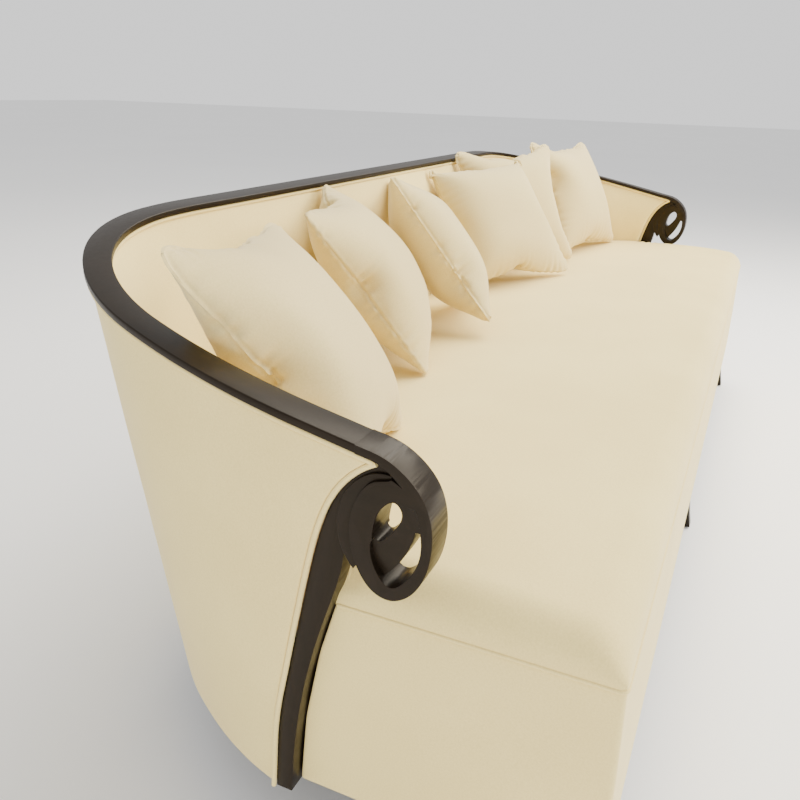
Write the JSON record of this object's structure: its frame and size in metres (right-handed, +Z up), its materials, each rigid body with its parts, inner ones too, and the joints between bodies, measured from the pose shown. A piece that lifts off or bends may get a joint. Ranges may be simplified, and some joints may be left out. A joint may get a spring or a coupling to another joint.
{
  "type": "scroll-arm sofa",
  "caption": "Long upholstered sofa with a curved show-wood top rail ending in open carved scrolls, a tight bench seat, slim front posts, short legs and loose knife-edge pillows.",
  "frame": {"origin": "on the floor, in the middle of the sofa's overall length and depth", "axes": "+Z up, +X along the sofa from its left arm to its right arm as seen from the front, the seat opens towards -Y"},
  "size_m": [2.4196, 0.899, 0.8222],
  "materials": {
    "show_wood": "dark espresso stain under satin lacquer",
    "dowel_wood": "bare beech",
    "frame_wood": "bare sawn hardwood",
    "cover_fabric": "cream velvet-like plain weave with a soft sheen",
    "pillow_fabric": "cream satin-faced cloth",
    "lining_cloth": "thin black lining cloth and webbing",
    "foam": "firm seat foam with a fibre wrap",
    "steel": "bright spring wire and zinc plated bolts",
    "glide_plastic": "nylon glide"
  },
  "bodies": {
    "root": {"arm_ties": "frame_wood", "back_frame_sill": "frame_wood", "back_frame_top_rail": "frame_wood", "back_frame_uprights": "frame_wood", "back_rail": "show_wood", "back_seat_rail": "frame_wood", "back_webbing": "lining_cloth", "corner_blocks": "frame_wood", "cross_braces": "frame_wood", "deck_cloth": "lining_cloth", "dust_cover": "lining_cloth", "front_border_panel": "cover_fabric", "front_legs": "show_wood", "front_seat_rail": "frame_wood", "inside_back_pad": "cover_fabric", "inside_welt": "cover_fabric", "left_arm_rail": "show_wood", "left_corner_rail": "show_wood", "left_end_panel": "cover_fabric", "left_end_pillow": "pillow_fabric", "left_frame_sill": "frame_wood", "left_frame_top_rail": "frame_wood", "left_frame_uprights": "frame_wood", "left_front_post": "show_wood", "left_inner_pillow": "pillow_fabric", "left_inside_pad": "cover_fabric", "left_outside_panel": "cover_fabric", "left_scroll": "show_wood", "left_scroll_cheek": "show_wood", "left_second_pillow": "pillow_fabric", "leg_bolts": "steel", "leg_glides": "glide_plastic", "outside_back_panel": "cover_fabric", "outside_welt": "cover_fabric", "post_welts": "cover_fabric", "rail_dowels": "dowel_wood", "rear_legs": "show_wood", "right_arm_rail": "show_wood", "right_corner_rail": "show_wood", "right_end_panel": "cover_fabric", "right_end_pillow": "pillow_fabric", "right_frame_sill": "frame_wood", "right_frame_top_rail": "frame_wood", "right_frame_uprights": "frame_wood", "right_front_post": "show_wood", "right_inner_pillow": "pillow_fabric", "right_inside_pad": "cover_fabric", "right_outside_panel": "cover_fabric", "right_scroll": "show_wood", "right_scroll_cheek": "show_wood", "right_second_pillow": "pillow_fabric", "seat_end_boards": "frame_wood", "seat_foam": "foam", "seat_pad": "cover_fabric", "seat_shelves": "frame_wood", "seat_side_rails": "frame_wood", "seat_springs": "steel", "seat_welt": "cover_fabric", "spring_clips": "steel"}
  },
  "joints": []
}
